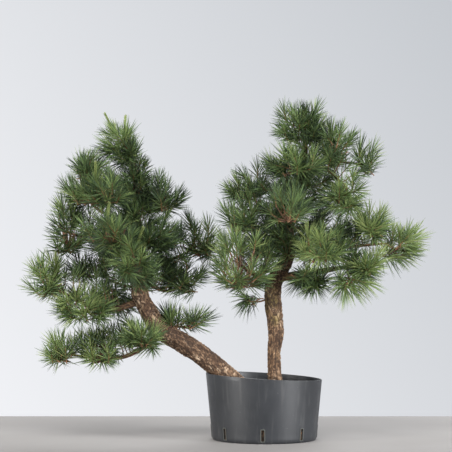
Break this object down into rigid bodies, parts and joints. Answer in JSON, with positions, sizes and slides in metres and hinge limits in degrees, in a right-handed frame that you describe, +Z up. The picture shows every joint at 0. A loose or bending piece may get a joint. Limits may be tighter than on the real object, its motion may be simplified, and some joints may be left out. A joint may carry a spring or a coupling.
{
  "type": "potted pine bonsai pair",
  "caption": "Low round plastic nursery pot of soil holding two pines trained as bonsai: a trunk leaning out over the rim and an upright one, each with clumps of long needles.",
  "frame": {"origin": "centre of the pot's flat underside", "axes": "+Z up, away from the ground; +X to the right of the front view, towards the upright tree's far boughs; the leaning tree goes over the rim towards -X; the front faces -Y"},
  "size_m": [1.3303, 0.483, 1.13],
  "materials": {
    "pot": "satin, dusty, lightly scuffed",
    "soil": "rough, granular",
    "bark": "rough, flaking plates",
    "needles": "satin needles"
  },
  "bodies": {
    "root": {"leaning_tree_crown_foliage": "needles", "leaning_tree_far_left_foliage": "needles", "leaning_tree_far_right_foliage": "needles", "leaning_tree_low_back_foliage": "needles", "leaning_tree_low_front_foliage": "needles", "leaning_tree_low_left_foliage": "needles", "leaning_tree_low_right_foliage": "needles", "leaning_tree_low_sprig_foliage": "needles", "leaning_tree_lowest_foliage": "needles", "leaning_tree_lowest_left_foliage": "needles", "leaning_tree_mid_back_foliage": "needles", "leaning_tree_mid_front_foliage": "needles", "leaning_tree_mid_left_foliage": "needles", "leaning_tree_mid_right_foliage": "needles", "leaning_tree_rear_left_foliage": "needles", "leaning_tree_shoulder_left_foliage": "needles", "leaning_tree_shoulder_right_foliage": "needles", "leaning_tree_trunk_front_foliage": "needles", "leaning_tree_upper_back_foliage": "needles", "leaning_tree_upper_front_foliage": "needles", "leaning_tree_upper_left_foliage": "needles", "leaning_tree_wood": "bark", "pot": "pot", "soil": "soil", "upright_tree_crown_foliage": "needles", "upright_tree_fan_right_foliage": "needles", "upright_tree_far_right_foliage": "needles", "upright_tree_low_back_foliage": "needles", "upright_tree_low_front_foliage": "needles", "upright_tree_low_left_foliage": "needles", "upright_tree_low_right_foliage": "needles", "upright_tree_low_sprig_foliage": "needles", "upright_tree_lowest_right_foliage": "needles", "upright_tree_mid_back_foliage": "needles", "upright_tree_mid_front_foliage": "needles", "upright_tree_mid_left_foliage": "needles", "upright_tree_mid_right_foliage": "needles", "upright_tree_right_foliage": "needles", "upright_tree_under_right_foliage": "needles", "upright_tree_upper_back_foliage": "needles", "upright_tree_upper_front_foliage": "needles", "upright_tree_upper_left_foliage": "needles", "upright_tree_upper_right_foliage": "needles", "upright_tree_wood": "bark"}
  },
  "joints": []
}
